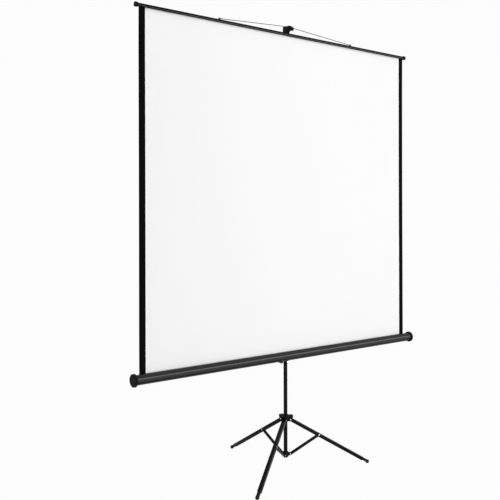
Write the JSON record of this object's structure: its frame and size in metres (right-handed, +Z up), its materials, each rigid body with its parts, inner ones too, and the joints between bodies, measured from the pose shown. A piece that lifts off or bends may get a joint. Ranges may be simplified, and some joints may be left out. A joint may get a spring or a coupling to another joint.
{
  "type": "tripod projector screen",
  "caption": "Pull-up roller projection screen in a slim faceted case, hung from a telescopic mast on a folding three-legged stand with braced channel legs.",
  "frame": {"origin": "on the floor, under the middle of the open tripod footprint box and of the case length", "axes": "+X along the case to the right as seen from the front, +Y away from the viewer, +Z up along the mast"},
  "size_m": [2.207, 0.8342, 2.7387],
  "materials": {
    "frame_paint": "semi-gloss black powder coat over steel tube and channel",
    "case_lacquer": "charcoal lacquer, slightly metallic, over an extruded shell",
    "black_plastic": "moulded black plastic, fine matt texture",
    "pin_steel": "plain zinc-plated steel",
    "black_wire": "steel wire and bent strip, blackened",
    "screw_chrome": "bright chrome",
    "roller_metal": "mill finish",
    "spring_steel": "oiled spring steel",
    "boot_rubber": "matt black rubber",
    "sheet_white": "matt white coated glass-fibre sheet",
    "sheet_black": "matt black printed margin"
  },
  "bodies": {
    "stand": {"mast_tube": "frame_paint", "mast_foot_plug": "black_plastic", "strut_collar": "black_plastic", "collar_pin_left": "pin_steel", "collar_pin_right": "pin_steel", "collar_pin_rear": "pin_steel", "clamp_collar": "black_plastic"},
    "rod_knob": {"rod_lock_knob": "black_plastic"},
    "extension": {"extension_rod": "frame_paint", "rod_guide_plug": "black_plastic", "top_hook": "black_plastic"},
    "strut_rear_link": {"strut_rear": "frame_paint"},
    "leg_rear_link": {"leg_rear": "frame_paint", "strut_pin_rear": "pin_steel", "foot_rear": "boot_rubber"},
    "hub": {"leg_hub": "black_plastic", "hub_pin_left": "pin_steel", "hub_pin_right": "pin_steel", "hub_pin_rear": "pin_steel"},
    "strut_left_link": {"strut_left": "frame_paint"},
    "leg_left_link": {"leg_left": "frame_paint", "strut_pin_left": "pin_steel", "foot_left": "boot_rubber"},
    "strut_right_link": {"strut_right": "frame_paint"},
    "leg_right_link": {"leg_right": "frame_paint", "strut_pin_right": "pin_steel", "foot_right": "boot_rubber"},
    "slider": {"case_slider": "black_plastic", "lever_pin": "pin_steel", "case_pivot_pin": "pin_steel"},
    "lever": {"release_lever": "black_plastic"},
    "clamp_screw": {"case_clamp_screw": "screw_chrome"},
    "casing": {"casing_shell": "case_lacquer", "casing_cap_right": "black_plastic", "casing_cap_left": "black_plastic", "case_saddle": "black_plastic", "roller_pin": "pin_steel", "spring_shaft": "pin_steel", "torsion_spring": "spring_steel", "screen_sheet": "sheet_white", "sheet_margin_left": "sheet_black", "sheet_margin_right": "sheet_black"},
    "roller": {"roller_tube": "roller_metal", "wound_sheet": "sheet_white", "roller_plug_right": "black_plastic", "roller_plug_left": "black_plastic"},
    "rail": {"top_rail": "frame_paint", "rail_cap_right": "black_plastic", "rail_cap_left": "black_plastic", "bail_clip_left": "black_wire", "bail_clip_right": "black_wire"},
    "bail": {"bail_wire": "black_wire"}
  },
  "joints": [
    {"name": "tripod_fold", "type": "hinge", "parent": "stand", "child": "strut_rear_link", "pos_m": [-0.00105, -0.09446, 0.09055], "axis": [0.9994, 0.0349, 0], "range_deg": [0, 59.4]},
    {"name": "leg_rear_fold", "type": "hinge", "parent": "strut_rear_link", "child": "leg_rear_link", "pos_m": [-0.00742, 0.08802, 0.19827], "axis": [0.9994, 0.0349, 0], "range_deg": [-119, 0]},
    {"name": "hub_rise", "type": "hinge", "parent": "leg_rear_link", "child": "hub", "pos_m": [-0.00105, -0.09446, 0.306], "axis": [0.9994, 0.0349, 0], "range_deg": [0, 60]},
    {"name": "strut_left_fold", "type": "hinge", "parent": "stand", "child": "strut_left_link", "pos_m": [-0.02544, -0.14034, 0.09055], "axis": [-0.5299, 0.848, 0], "range_deg": [0, 60]},
    {"name": "leg_left_fold", "type": "hinge", "parent": "strut_left_link", "child": "leg_left_link", "pos_m": [-0.18029, -0.2371, 0.19827], "axis": [-0.5299, 0.848, 0], "range_deg": [-119, 0]},
    {"name": "strut_right_fold", "type": "hinge", "parent": "stand", "child": "strut_right_link", "pos_m": [0.02649, -0.13853, 0.09055], "axis": [-0.4695, -0.8829, 0], "range_deg": [0, 60]},
    {"name": "leg_right_fold", "type": "hinge", "parent": "strut_right_link", "child": "leg_right_link", "pos_m": [0.18771, -0.22425, 0.19827], "axis": [-0.4695, -0.8829, 0], "range_deg": [-119, 0]},
    {"name": "rod_knob_turn", "type": "hinge", "parent": "stand", "child": "rod_knob", "pos_m": [0, -0.09714, 1.347], "axis": [0, 1, 0], "range_deg": [0, 360]},
    {"name": "extension_slide", "type": "slide", "parent": "stand", "child": "extension", "axis": [0, 0, -1], "range_m": [0, 0.425]},
    {"name": "casing_raise", "type": "slide", "parent": "stand", "child": "slider", "axis": [0, 0, 1], "range_m": [0, 0.445]},
    {"name": "casing_turn", "type": "hinge", "parent": "slider", "child": "casing", "pos_m": [0, -0.18829, 0.712], "axis": [0, 1, 0], "range_deg": [0, 90.5]},
    {"name": "screen_retract", "type": "slide", "parent": "casing", "child": "rail", "axis": [0, 0, -1], "range_m": [0, 1.927], "deforming": ["screen_sheet", "sheet_margin_left", "sheet_margin_right"]},
    {"name": "roller_spin", "type": "hinge", "parent": "casing", "child": "roller", "pos_m": [0, -0.18829, 0.712], "axis": [1, 0, 0], "range_deg": [-5525, 0]},
    {"name": "bail_swing", "type": "hinge", "parent": "rail", "child": "bail", "pos_m": [0, -0.17044, 2.69325], "axis": [1, 0, 0], "range_deg": [0, 105.5]},
    {"name": "clamp_screw_turn", "type": "hinge", "parent": "slider", "child": "clamp_screw", "pos_m": [0, -0.14524, 0.665], "axis": [0, -1, 0], "range_deg": [0, 360]},
    {"name": "lever_press", "type": "hinge", "parent": "slider", "child": "lever", "pos_m": [-0.0248, -0.12444, 0.663], "axis": [0, 1, 0], "range_deg": [0, 14], "stiffness_Nm_per_rad": 0.3, "springref_deg": -17.19}
  ],
  "couplings": [
    {"joint": "leg_rear_fold", "follows": "tripod_fold", "ratio": -2},
    {"joint": "hub_rise", "follows": "tripod_fold", "ratio": 1},
    {"joint": "strut_left_fold", "follows": "tripod_fold", "ratio": 1},
    {"joint": "leg_left_fold", "follows": "tripod_fold", "ratio": -2},
    {"joint": "strut_right_fold", "follows": "tripod_fold", "ratio": 1},
    {"joint": "leg_right_fold", "follows": "tripod_fold", "ratio": -2},
    {"joint": "roller_spin", "follows": "screen_retract", "rad_per_m": -50},
    {"joint": "bail_swing", "follows": "screen_retract", "rad_per_m": 0.95101},
    {"joint": "extension_slide", "follows": "screen_retract", "ratio": 0.21796},
    {"joint": "casing_raise", "follows": "screen_retract", "ratio": 0.22833},
    {"joint": "casing_turn", "follows": "screen_retract", "rad_per_m": 0.81515}
  ]
}
